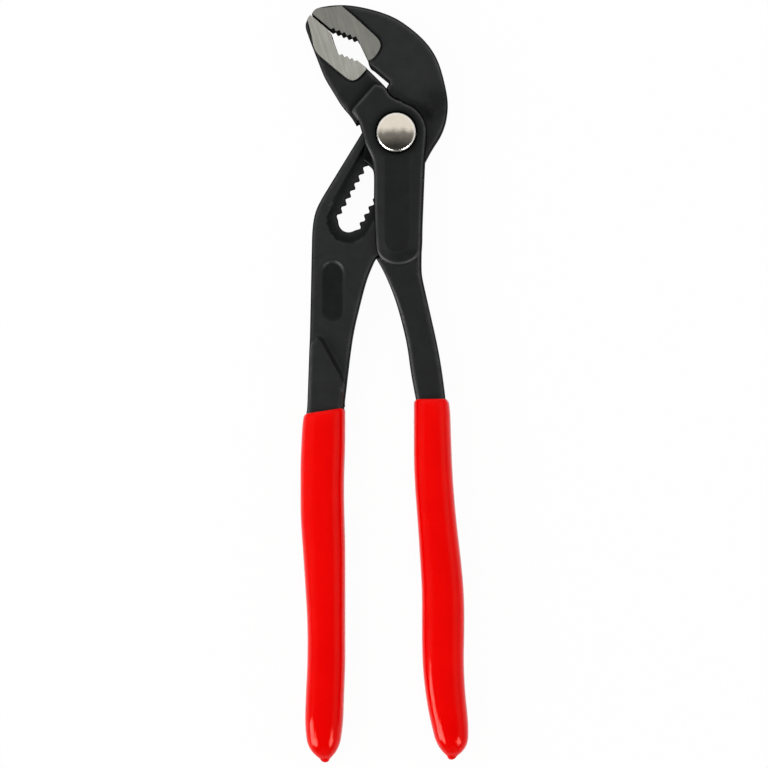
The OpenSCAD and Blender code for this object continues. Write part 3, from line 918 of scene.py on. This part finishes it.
box_rim = [loop for loop in outlines("box_lever", RIM_CUT) if np.ptp(loop[:, 1]) > TALL_LOOP]
box_cheek = [loop for loop in outlines("box_lever", CHEEK_CUT, soft=6) if np.ptp(loop[:, 1]) > TALL_LOOP]
box_ground = outlines("box_lever", GROUND_CUT, held=held_by(box_rim), rounds=30)
box_ground = [loop for loop in box_ground if loop[:, 1].min() > JAW_START]
box_rim = pushed_out(box_rim, NECK, reach=3.2, distance=2.9)
for place in LOWER_TIP_EDGE:
    box_rim = pushed_out(box_rim, place, reach=1.4, distance=0.2)
    box_ground = pushed_out(box_ground, place, reach=1.4, distance=0.45)
box_ground = pushed_out(box_ground, LOWER_FLANK, reach=4.5, distance=-0.3)
box_cheek = pushed_out(box_cheek, PAD_FOOT, reach=5.0, distance=0.6)
pad_flat = metal_on_left([relaxed(np.array(PAD_FLAT), soft=20)])
button_low, button_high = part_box("button_cap")
button_radius = button_high.x / MM
box_jaw_top = plumb("box_lever", -20, 14) - MID
box_shank_top = plumb("box_lever", 9, -75) - MID
box_cheek_top = plumb("box_lever", 0, -30) - MID
box_ground_top = plumb("box_lever", -25, 30) - MID


def box_edge_radius(y):
    return SHANK_EDGE + (BOSS_EDGE - SHANK_EDGE) * smooth_step(y, -62, -44)


def pad_fall(points, cheek):
    """Fall of the pad from its flat to the outline of the cheek, even all round."""
    beside = np.clip(-depth_inside(points, pad_flat), 0, None)
    share = beside / (beside + np.clip(cheek, 0, None) + 1e-6)
    return soft_max(SHOULDER_DROP * share - 0.03, 0 * share, 0.12)


def box_height(points):
    y = points[:, 1]
    rim = depth_inside(points, box_rim)
    cheek = depth_inside(points, box_cheek)
    ground = depth_inside(points, box_ground)
    body_top = box_shank_top + (box_jaw_top - box_shank_top) * smooth_step(y, -40, 0)
    dip = ROOT_DIP * (1 - smooth_step(-cheek, 0, 7)) * smooth_step(y, 3, 8) + ground_groove(ground)
    body = body_top - dip - edge_loss(rim, box_edge_radius(y)) + ripple(points, 1.5)
    shoulder = pad_fall(points, cheek) * smooth_step(-y, 3, 10)
    facet = 0.5 * np.clip((points - FACET_START) @ FACET_WAY, 0, 2.4) * smooth_step(y, 0.5, 3)
    raised = terrace(cheek, box_cheek_top, BOSS_EDGE, CHEEK_WALL) - shoulder - facet
    plate = terrace(ground, box_ground_top, GROUND_EDGE, JAW_WALL)
    return soft_max(soft_max(body, raised, 0.4), plate, 0.05)


def box_painted_shade(places):
    """Mask of shade round the button, at the jaw's root, at the neck, on the pad and round the jaw face."""
    plan = places[:, :2]
    x, y = plan.T
    cheek = depth_inside(plan, box_cheek)
    pad = depth_inside(plan, pad_flat)
    beside = (cheek < 0.1) & (y > -16)
    button = SHADE["button"] * bump_at(np.hypot(x, y), button_radius + 0.3, 1.3)
    root = SHADE["root"] * beside * (x < -5) * bump_at(cheek, 0, 1.6)
    neck = SHADE["neck"] * beside * (x < -3) * (y < 1)
    flat = SHADE["flat"] * (y < -6) * smooth_step(pad, -0.15, 0.15)
    foot = SHADE["foot"] * smooth_step(-y, 37.5, 39.5) * smooth_step(cheek, 0.9, 1.3)
    foot = foot * smooth_step(-pad, 0.3, 0.7)
    return np.max([button, root, neck, flat, foot, ground_shade(plan, box_ground, box_rim)], axis=0)


box_tops = (box_jaw_top, box_shank_top, box_cheek_top, box_ground_top)
print("box lever heights:", [round(top, 2) for top in box_tops])

# %% Box lever
MORTISE = [(-17.4, 3.6), (-4.5, 19.0), (30, 30), (30, -10), (10.5, -10),
           (-2.6, -41), (-5.2, -48.5), (-40, -48.5), (-40, 3.6)]
MORTISE_LOW = 3.7
MORTISE_HIGH = 8.9
BUTTON_RING = 0.5
FRONT_BORE = 4.04
BACK_BORE = 5.04
CUT_OVER = 1


def rings_at(loops, steps):
    """Each loop with each distance at which a ring of points runs beside it."""
    return [(loop, step) for loop in loops for step in steps]


def terrace_rings(loops, radius, outside):
    """Rings on a terrace's outline, inside its rounded edge and outside at its foot."""
    steps = [radius * share for share in FILLET_STEPS] + [-distance for distance in outside]
    return rings_at(loops, [0.0]) + rings_at(loops, steps)


def rim_rings(loops, radius):
    """Rings for the rounded outer edge, whose radius follows the place along the lever."""
    return [(loop, radius(loop[:, 1]) * share) for loop in loops for share in FILLET_STEPS]


def finish_lever(lever, ground, ground_top, painted_shade, rims, body, node):
    """Ground faces, masks, shading and the place in the model."""
    mesh = lever.data
    middles = read_places(mesh.polygons, "center")
    level = np.abs(middles[:, 2] - MID) > ground_top - GROUND_EDGE
    within = depth_inside(middles[:, :2], ground) > GROUND_EDGE
    mesh.polygons.foreach_set("material_index", (level & within).astype(np.int32))
    places = read_places(mesh.vertices, "co")
    # Edge mask: partly wear, partly a painted highlight along the outlines.
    worn_and_highlit = [bump_at(depth_inside(places[:, :2], loops), 0.75, 0.35) for loops in rims]
    store_mask(mesh, EDGE_RUB_AND_HIGHLIGHT_MASK, np.max(worn_and_highlit, axis=0))
    # Painted shade on faces in the shade of a step, round the button, in the track and on the walls.
    store_mask(mesh, PAINTED_SHADE_MASK, painted_shade(places))
    shade(lever, LEVER_CORNER)
    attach(lever, body)
    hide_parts(node)
    print(lever.name, len(mesh.polygons), "faces")


box_rings = (terrace_rings(box_ground, GROUND_EDGE, GROUND_FOOT)
             + rim_rings(box_rim, box_edge_radius)
             + terrace_rings(box_cheek, BOSS_EDGE, (0.09, 0.18, 0.27, 0.5, 0.9))
             + rings_at(box_cheek, (1.1, 1.4))
             + rings_at(pad_flat, (-1.4, -0.8, -0.5, -0.25, 0.0, 0.25)))
box_lever = pressed_solid("box_lever_forging", box_rim, box_rings, box_height, box_height)
box_lever.data.materials.append(box_forging)
box_lever.data.materials.append(lower_ground)

cover_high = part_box("rear_cover_disc")[1]
cover_radius = cover_high.x / MM
cover_top = cover_high.z / MM
counterbore_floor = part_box("spring_seat_washer")[0].z / MM
top = joint_high.z / MM
cutters = [
    prism(MORTISE, MORTISE_LOW, MORTISE_HIGH),
    prism(circle(button_radius + BUTTON_RING), counterbore_floor, top + CUT_OVER),
    prism(circle(FRONT_BORE), MID, top),
    prism(circle(BACK_BORE), cover_top, MID),
    prism(circle(cover_radius), -CUT_OVER, cover_top),
]
cut_away(box_lever, cutters)
finish_lever(box_lever, box_ground, box_ground_top, box_painted_shade, [box_rim, box_cheek],
             "box_lever_body", "box_lever")

# %% [markdown]
# ## Slot lever
# This lever carries the upper jaw, the flat tongue with the toothed slot and the left handle. The
# tongue is thin, so that it can slide between the cheeks. The jaw rises from it up to the cheek, dips
# a little beside the boss and runs out in a slope at the right. The handle rises on a slanting step.
# The slot lies in a sunk track with a toothed web, and an oval panel is pressed into the front.

# %% Slot lever heights
TONGUE_EDGE = 0.35
JAW_EDGE = 0.9
JAW_INNER_EDGE = 0.15
STEP_EDGE = 1.5
STEP_SLOPE = 1.15
SHANK_INSET = 0.25
SHANK_RIGHT_EDGE = 1.1
PANEL_LIP = 0.3
PANEL_SHARE = 0.6
CROTCH = np.array([-5.8, -39.6])
JAW_HEEL = np.array([-9.0, 22.2])
GRIP_CORNER = np.array([-17.7, -91.2])
STEP_PLACE = np.array([-22.0, -73.5])
STEP_WAY = np.array([0.879, 0.477])
NOSE_PLACE = np.array([-25.8, -67.2])
NOSE_WAY = np.array([-0.62, 0.78])
UPPER_FLANK = np.array([-22.5, 41.7])
JAW_CHORD = np.array([-28.0, 39.1])
JAW_CHORD_NORMAL = np.array([0.662, 0.750])
JAW_END = np.array([10.6, 0.9])
JAW_END_NORMAL = np.array([-0.48, 0.877])
JAW_END_RUN = 13.0
CHEEK_GAP = 0.05
JAW_GROWTH = 2.4
SHANK_FALL = 0.6
WEB_TOP = 0.8
TRACK_SLOPE = 2.8
SLOT_RIM_CUT = 6.3
JAW_CUT = 10.9
TRACK_CUT = 8.0
PANEL_CUT = 8.5
LEVER_LOOP = 60


def is_small(loop):
    """True for the loops of the slot and the panel, false for the lever's own outline."""
    return np.ptp(loop[:, 1]) < LEVER_LOOP


slot_rim = cut_loops("slot_lever", 2, SLOT_RIM_CUT)
slot_rim = metal_on_left([relaxed(loop, soft=2 if is_small(loop) else 0) for loop in slot_rim])
slot_jaw = [loop for loop in outlines("slot_lever", JAW_CUT) if loop[:, 1].mean() > 0]
slot_ground = outlines("slot_lever", GROUND_CUT, held=held_by(slot_rim), rounds=12)
slot_track = [loop for loop in outlines("slot_lever", TRACK_CUT, soft=40) if is_small(loop)]
slot_panel = [loop for loop in outlines("slot_lever", PANEL_CUT) if is_small(loop)]
slot_panel = [loop for loop in slot_panel if loop[:, 1].mean() < -40]
for place, reach, distance in ((CROTCH, 1.4, 1.1), (JAW_HEEL, 1.3, 0.6), (GRIP_CORNER, 1.6, 0.5)):
    slot_rim = pushed_out(slot_rim, place, reach, distance)
slot_jaw = pushed_out(slot_jaw, JAW_HEEL, reach=1.3, distance=0.6)
slot_ground = pushed_out(slot_ground, UPPER_FLANK, reach=6.0, distance=-0.45)
slot_shank = [moved_in(loop, SHANK_INSET) for loop in slot_rim if not is_small(loop)]
slot_shank = [clipped(clipped(loop, STEP_PLACE, STEP_WAY), NOSE_PLACE, NOSE_WAY) for loop in slot_shank]
slot_shank = [relaxed(loop, soft=14) for loop in slot_shank]
slot_jaw_top = plumb("slot_lever", 5, 25) - MID
slot_ground_top = plumb("slot_lever", -20, 38) - MID
slot_tongue_top = plumb("slot_lever", -25, -38) - MID
slot_shank_top = plumb("slot_lever", -24, -85) - MID
slot_panel_depth = slot_tongue_top - (plumb("slot_lever", -21, -52) - MID)
slot_tops = (slot_jaw_top, slot_ground_top, slot_tongue_top, slot_shank_top)
print("slot lever heights:", [round(top, 2) for top in slot_tops])


# %% Slot lever surfaces
def jaw_run_out(points):
    """Share of the jaw's height along the slope at its right end."""
    return smooth_step((points - JAW_END) @ JAW_END_NORMAL, 0.0, JAW_END_RUN)


def tongue_height(points, panel_depth):
    """The flat tongue with its panel and the sunk track of the slot."""
    tongue = slot_tongue_top - edge_loss(depth_inside(points, slot_rim), TONGUE_EDGE)
    panel = depth_inside(points, slot_panel)
    lip = PANEL_LIP * smooth_step(points[:, 1], -52, -42) * bump_at(panel, -0.8, 0.7)
    tongue = tongue - panel_depth * smooth_step(panel, -0.3, 0.9) + (panel_depth > 0) * lip
    track = WEB_TOP + np.clip(-depth_inside(points, slot_track), 0, None) * TRACK_SLOPE
    return -soft_max(-tongue, -track, 0.5)


def jaw_height(points):
    """The upper jaw, grown up to the cheek, with its dip beside the boss and its slope at the right."""
    drop = (slot_jaw_top - slot_tongue_top) * (1 - jaw_run_out(points))
    outer = smooth_step((points - JAW_CHORD) @ JAW_CHORD_NORMAL, 3, 6)
    radius = JAW_INNER_EDGE + (JAW_EDGE - JAW_INNER_EDGE) * outer
    inside = depth_inside(points, slot_jaw)
    cheek = -depth_inside(points, box_cheek)
    grown = np.maximum(inside, np.minimum(cheek - CHEEK_GAP, inside + JAW_GROWTH))
    dip = ROOT_DIP * (1 - smooth_step(cheek, 0, 5))
    return terrace(grown, slot_jaw_top, radius, JAW_WALL) - dip - drop


def shank_height(points):
    """The raised shank with its slanting step, a rounder right edge and a fall inside the grip."""
    x, y = points.T
    shank_top = slot_shank_top - SHANK_FALL * smooth_step(-y, 93, 99)
    edge = STEP_EDGE * (0.3 + 0.7 * smooth_step((STEP_PLACE - points) @ STEP_WAY, 0.5, 2.5))
    right = smooth_step(x, -23.5, -21.5) * smooth_step(-y, 78, 82)
    inside = depth_inside(points, slot_shank)
    return terrace(inside, shank_top, edge + SHANK_RIGHT_EDGE * right, STEP_SLOPE)


def slot_height(points, panel_depth):
    ground = depth_inside(points, slot_ground)
    raised = soft_max(jaw_height(points) - ground_groove(ground), shank_height(points), 0.3)
    raised = raised + ripple(points, 4.5)
    plate = terrace(ground, slot_ground_top, GROUND_EDGE, JAW_WALL)
    return soft_max(soft_max(raised, tongue_height(points, panel_depth), 0.35), plate, 0.05)


def slot_front(points):
    return slot_height(points, slot_panel_depth * PANEL_SHARE)


def slot_back(points):
    return slot_height(points, 0.0)


def slot_painted_shade(places):
    """Mask of shade in the track and the panel, under the step, on the jaw's slope and round the jaw face."""
    plan, front = places[:, :2], places[:, 2] > MID
    x, y = plan.T
    track = SHADE["track"] * smooth_step(depth_inside(plan, slot_track), -0.2, 0.3)
    lower = SHADE["lower"] * smooth_step(-y, 30, 45)
    panel = SHADE["panel"] * front * smooth_step(depth_inside(plan, slot_panel), -0.5, 0.5)
    below = (plan - STEP_PLACE) @ STEP_WAY
    beyond = smooth_step((plan - NOSE_PLACE) @ NOSE_WAY, -1.5, 0.5)
    step = SHADE["step"] * (below > 0) * np.exp(-np.clip(below, 0, None) / 5) * (y > -83) * (1 - beyond)
    run_out = jaw_run_out(plan)
    slope = SHADE["slope"] * run_out * (1 - run_out) * (x > 0)
    return np.max([track, lower, panel, step, slope, ground_shade(plan, slot_ground, slot_rim)], axis=0)


print("panel pressed", round(slot_panel_depth * PANEL_SHARE, 2), "mm deep")

# %% Slot lever
slot_rings = (terrace_rings(slot_ground, GROUND_EDGE, GROUND_FOOT)
              + rings_at(slot_rim, [TONGUE_EDGE * share for share in FILLET_STEPS])
              + rings_at(slot_rim, (0.6, 0.85, 1.1))
              + terrace_rings(slot_jaw, JAW_EDGE, (0.12, 0.25, 0.38, 0.5, 0.7))
              + terrace_rings(slot_shank, STEP_EDGE, (0.3, 0.6, 0.9, 1.3, 1.8))
              + rings_at(slot_track, (-0.9, -0.76, -0.62, -0.48, -0.3, -0.1, 0.1))
              + rings_at(slot_panel, (-1.2, -0.9, -0.6, -0.3, -0.05, 0.15, 0.35)))
slot_lever = pressed_solid("slot_lever_forging", slot_rim, slot_rings, slot_front, slot_back)
slot_lever.data.materials.append(slot_forging)
slot_lever.data.materials.append(upper_ground)
finish_lever(slot_lever, slot_ground, slot_ground_top, slot_painted_shade, [slot_rim],
             "slot_lever_body", "slot_lever")

# %% [markdown]
# ## Dipped grips
# A grip is made by dipping the hot handle in liquid vinyl: the skin is thick and smooth, the mouth sets
# in a rounded lip that is not quite level, and the last drop hardens to a nub at the end. Each grip is
# a sleeve of rings. The width and middle of each ring are measured from the solid, with a little more
# skin on both sides. The lip and the lining follow a short list of insets.

# %% Pieces made of rings
def ring_piece(name, rings, material):
    """Closed piece of rings of points in millimetres, joined one to the next; one point makes a tip."""
    mesh = bmesh.new()
    rows = [[mesh.verts.new([value * MM for value in point]) for point in ring] for ring in rings]
    steps = max(len(row) for row in rows)
    for row, ahead in zip(rows, rows[1:]):
        for k in range(steps):
            n = (k + 1) % steps
            face = [row[k % len(row)], row[n % len(row)], ahead[n % len(ahead)], ahead[k % len(ahead)]]
            mesh.faces.new(list(dict.fromkeys(face)))
    for row in (rows[0], rows[-1]):
        if len(row) > 1:
            mesh.faces.new(row)
    bmesh.ops.recalc_face_normals(mesh, faces=mesh.faces)
    piece = new_piece(name, mesh)
    piece.data.materials.append(material)
    piece.data.polygons.foreach_set("use_smooth", [True] * len(piece.data.polygons))
    return piece


print("ring pieces ready")

# %% Grip rings
GRIP_SIDES = 64
GRIP_STEP = 1.2
GRIP_ROUNDS = 8
GRIP_SQUARENESS = 2.5
SKIN = 0.9
SKIN_MORE = 0.25
LINING_RINGS = 24
LINING_FROM_TIP = 12
LINING_FROM_MOUTH = 8
LIP = [(0.95, 1.4), (0.92, 0.35), (0.7, 0.04), (0.4, 0.0), (0.14, 0.14), (0.0, 0.45)]
MOUTH_RUN = 12
LEFT_MOUTH = [(-1, -0.8), (-0.85, -0.1), (0.9, 1.65), (1, 1.1)]
RIGHT_MOUTH = [(-1, 0.15), (-0.85, 0.95), (0.85, 1.05), (1, 0.15)]
END_LENGTH = 7.5
END_RINGS = 18
END_POWER = 1.9
NUB_RADIUS = 1.7
END_BLEND = 6


def grip_measures(node):
    """Rows of place, middle and half width on X, middle and half height on Z, from mouth to tip."""
    low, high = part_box(node)
    mouth, tip = high.y / MM, low.y / MM
    body = np.linspace(mouth - 0.02, tip + END_LENGTH, 1 + round((mouth - tip - END_LENGTH) / GRIP_STEP))
    end = tip + END_LENGTH * (np.arange(END_RINGS - 1, 0, -1) / END_RINGS) ** 2
    rows = []
    for y in np.concatenate([body, end]):
        ring = np.concatenate(cut_loops(node, 1, float(y)))
        (x0, z0), (x1, z1) = ring.min(0), ring.max(0)
        x0, x1 = max(x0 - SKIN_MORE, low.x / MM), min(x1 + SKIN_MORE, high.x / MM)
        rows.append((y, (x0 + x1) / 2, (x1 - x0) / 2, (z0 + z1) / 2, (z1 - z0) / 2))
    rows = np.array(rows)
    for k in range(GRIP_ROUNDS):
        rows[1:-1, 1:] += ((rows[2:] + rows[:-2]) / 2 - rows[1:-1])[:, 1:] * 0.5
    left = np.clip(rows[len(body):, 0] - tip, 0, None)
    share = 1 - (1 - left / END_LENGTH) ** END_POWER
    nub = np.sqrt(np.clip(2 * NUB_RADIUS * left - left ** 2, 0, None))
    for k in (2, 4):
        rows[len(body):, k] = np.maximum(rows[len(body) - 1, k] * share, nub)
    joint = slice(len(body) - END_BLEND, len(body) + END_BLEND)
    for k in range(GRIP_ROUNDS):
        middle = (np.roll(rows, 1, axis=0) + np.roll(rows, -1, axis=0)) / 2
        rows[joint, 1:] += (middle - rows)[joint, 1:] * 0.5
    return rows


def grip_ring(measures, y, inset, mouth=((0, 0),), fade=0.0):
    """One ring of a grip; near the mouth its wavy line shifts the ring along the handle."""
    x, half_x, z, half_z = (np.interp(-y, -measures[:, 0], measures[:, k]) for k in range(1, 5))
    angle = np.arange(GRIP_SIDES) * 2 * math.pi / GRIP_SIDES
    c, s = np.cos(angle), np.sin(angle)
    shape_x = np.sign(c) * np.abs(c) ** (2 / GRIP_SQUARENESS)
    shape_z = np.sign(s) * np.abs(s) ** (2 / GRIP_SQUARENESS)
    along = y + fade * np.interp(shape_x, *np.transpose(mouth))
    return np.column_stack([x + (half_x - inset) * shape_x, along, z + (half_z - inset) * shape_z])


def make_grip(name, node, body, mouth_line):
    measures = grip_measures(node)
    mouth, tip = measures[0, 0], measures[-1, 0]
    lining = np.linspace(tip + LINING_FROM_TIP, mouth - LINING_FROM_MOUTH, LINING_RINGS)
    rings = [grip_ring(measures, y, SKIN) for y in lining]
    for inset, setback in LIP:
        rings.append(grip_ring(measures, mouth - setback, inset, mouth_line, 1.0))
    for y in measures[1:, 0]:
        fade = max(0.0, 1 - (mouth - y) / MOUTH_RUN) ** 2
        rings.append(grip_ring(measures, y, 0, mouth_line, fade))
    grip = ring_piece(name, rings, red_vinyl)
    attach(grip, body)
    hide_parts(node)
    print(name, len(grip.data.polygons), "faces, mouth at", round(float(mouth), 1), "mm")


make_grip("left_vinyl_grip", "left_grip", "slot_lever_body", LEFT_MOUTH)
make_grip("right_vinyl_grip", "right_grip", "box_lever_body", RIGHT_MOUTH)

# %% [markdown]
# ## Push button and lock
# The button is a spun cap: a shallow dome, a small round rim and a short skirt that dips into the
# counterbore. A profile turned about the pivot axis gives it. The cover on the back is a plain turned
# disc with a chamfer. The spring is a wire helix that narrows towards its head. The bolt and the
# washer are hidden, so their solids stay and only take the turned finish.

# %% Turned pieces
TURNED_SIDES = 128
TURNED_CORNER = 40


def turned(name, profile, material, body, node):
    """Turns a profile of radius and height about the pivot axis; both its ends lie on the axis."""
    rings = []
    for radius, height in profile:
        ring = circle(radius, TURNED_SIDES) if radius > 0 else [(0, 0)]
        rings.append([(x, y, height) for x, y in ring])
    made = ring_piece(name, rings, material)
    made.data.set_sharp_from_angle(angle=math.radians(TURNED_CORNER))
    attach(made, body)
    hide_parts(node)
    print(name, len(made.data.polygons), "faces")
    return made


print("turned pieces have", TURNED_SIDES, "sides")

# %% Push button
RIM_WIDTH = 0.6
DOME_STEPS = 14
RIM_STEPS = 8
CAP_WALL = 0.9
CEILING_DROP = 0.3
crown = button_high.z / MM
skirt = button_low.z / MM
rim_height = plumb("button_cap", button_radius - 0.02, 0)
rise = crown - rim_height
dome_radius = (button_radius ** 2 + rise ** 2) / (2 * rise)
dome_edge = button_radius - RIM_WIDTH
rim_start = math.asin(dome_edge / dome_radius)
rim_round = RIM_WIDTH / (1 - math.sin(rim_start))

profile = []
for k in range(DOME_STEPS + 1):
    reach = dome_edge * k / DOME_STEPS
    profile.append((reach, crown - dome_radius + math.sqrt(dome_radius ** 2 - reach ** 2)))
edge_height = profile[-1][1]
for turn in np.linspace(rim_start, math.pi / 2, RIM_STEPS + 1)[1:]:
    drop = rim_round * (math.cos(rim_start) - math.cos(turn))
    profile.append((button_radius - rim_round * (1 - math.sin(turn)), edge_height - drop))
bore = button_radius - CAP_WALL
ceiling = rim_height - CEILING_DROP
profile += [(button_radius, skirt), (bore, skirt), (bore, ceiling), (0, ceiling)]
button = turned("push_button_cap", profile, buffed_nickel, "lock_button", "button_cap")
button_places = read_places(button.data.vertices, "co")
button_reach = np.hypot(button_places[:, 0], button_places[:, 1])
# The rim's mask: partly rub, partly a painted highlight that whitens the rim.
store_mask(button.data, EDGE_RUB_AND_HIGHLIGHT_MASK, smooth_step(button_reach, dome_edge - 0.2, dome_edge + 0.2))

# %% Rear cover
CHAMFER = 0.2
profile = [(0, cover_top), (cover_radius, cover_top), (cover_radius, CHAMFER), (cover_radius - CHAMFER, 0.0),
           (0, 0.0)]
turned("rear_cover", profile, turned_steel, "box_lever_body", "rear_cover_disc")

# %% Return spring and the parts that keep their solids
WIRE = 0.18
SPRING_TURNS = 2
SPRING_RINGS = 96
WIRE_SIDES = 10
CONE = 0.8
spring_low, spring_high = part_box("return_spring")


def spring_rings():
    """Rings of the wire along a helix that narrows towards its head."""
    wide = spring_high.x / MM - WIRE
    foot, head = spring_low.z / MM + WIRE, spring_high.z / MM - WIRE
    rings = []
    for k in range(SPRING_RINGS + 1):
        share = k / SPRING_RINGS
        turn = 2 * math.pi * SPRING_TURNS * share
        height = foot + (head - foot) * share
        wire = [(wide - CONE * share + across, height + up) for across, up in circle(WIRE, WIRE_SIDES)]
        rings.append([(radius * math.cos(turn), radius * math.sin(turn), z) for radius, z in wire])
    return rings


spring = ring_piece("return_spring_wire", spring_rings(), turned_steel)
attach(spring, "pivot_carriage")
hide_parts("return_spring")
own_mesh(spring)

for node in ("lock_bolt", "spring_seat_washer"):
    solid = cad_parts[node]
    solid.data.materials.clear()
    solid.data.materials.append(turned_steel)

# %% [markdown]
# ## Size
# The dressed pliers must stay inside the box of the solids.

# %% Finish
print("pliers dressed")
